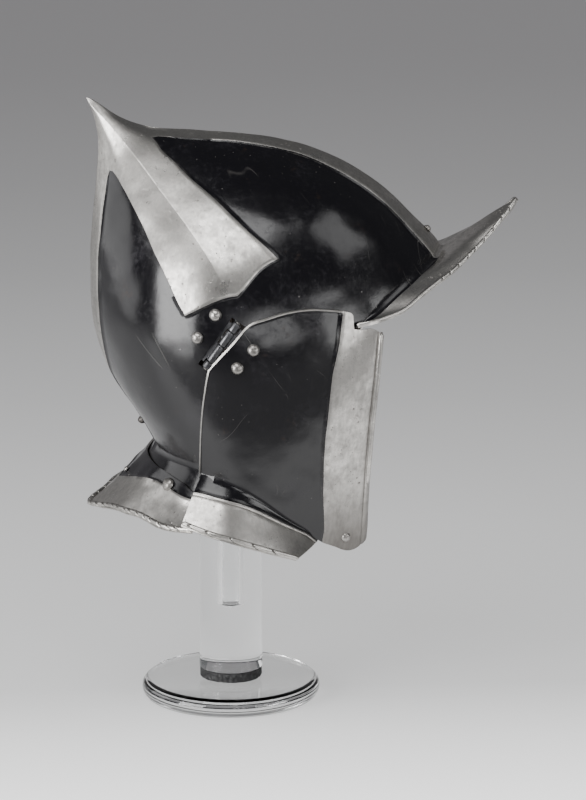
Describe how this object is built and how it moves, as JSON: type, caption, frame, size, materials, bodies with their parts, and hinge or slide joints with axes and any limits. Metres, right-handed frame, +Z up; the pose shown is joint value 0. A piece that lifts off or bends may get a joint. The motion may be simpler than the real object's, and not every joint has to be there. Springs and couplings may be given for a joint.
{
  "type": "burgonet on a display stand",
  "caption": "Light open-faced helmet with a spiked ridged skull, an upturned peak, hinged cheekpieces and a flared neck plate, held up on a clear round stand.",
  "frame": {"origin": "middle of the underside of the stand's foot, on the surface that it stands on", "axes": "+X the way the helmet faces, +Z up, -Y the helmet's right side"},
  "size_m": [0.3035, 0.217, 0.4305],
  "materials": {
    "black_steel": "black oil paint on hammered steel, glossy and worn, with bands and borders left as bright polished steel",
    "bright_steel": "polished steel, darkened and lightly pitted",
    "clear_acrylic": "clear polished acrylic",
    "black_rubber": "dull black pad"
  },
  "bodies": {
    "helmet_and_stand": {"skull": "black_steel", "neck_plate": "black_steel", "nape_rivet": "black_steel", "hinge_leaf_skull_right": "black_steel", "hinge_leaf_skull_left": "black_steel", "ridge_rivet": "bright_steel", "lining_rivet": "bright_steel", "hinge_rivet_skull_upper_right": "bright_steel", "hinge_rivet_skull_upper_left": "bright_steel", "hinge_rivet_skull_lower_right": "bright_steel", "hinge_rivet_skull_lower_left": "bright_steel", "neck_rivet_right": "bright_steel", "neck_rivet_left": "bright_steel", "hinge_pin_right": "bright_steel", "hinge_pin_left": "bright_steel", "stand_foot": "clear_acrylic", "stand_post": "clear_acrylic", "stand_rod": "clear_acrylic", "stand_pad": "clear_acrylic", "stand_gasket": "black_rubber"},
    "cheek_right": {"cheekpiece_right": "black_steel", "hinge_leaf_cheek_right": "black_steel", "hinge_rivet_cheek_upper_right": "bright_steel", "hinge_rivet_cheek_lower_right": "bright_steel", "strap_rivet_right": "bright_steel"},
    "cheek_left": {"cheekpiece_left": "black_steel", "hinge_leaf_cheek_left": "black_steel", "hinge_rivet_cheek_upper_left": "bright_steel", "hinge_rivet_cheek_lower_left": "bright_steel", "strap_rivet_left": "bright_steel"}
  },
  "joints": [
    {"name": "cheek_right_hinge", "type": "hinge", "parent": "helmet_and_stand", "child": "cheek_right", "pos_m": [-0.0097, -0.0978, 0.276], "axis": [-0.5821, 0, -0.8131], "range_deg": [0, 75]},
    {"name": "cheek_left_hinge", "type": "hinge", "parent": "helmet_and_stand", "child": "cheek_left", "pos_m": [-0.0097, 0.0978, 0.276], "axis": [0.5821, 0, 0.8131], "range_deg": [0, 75]}
  ]
}
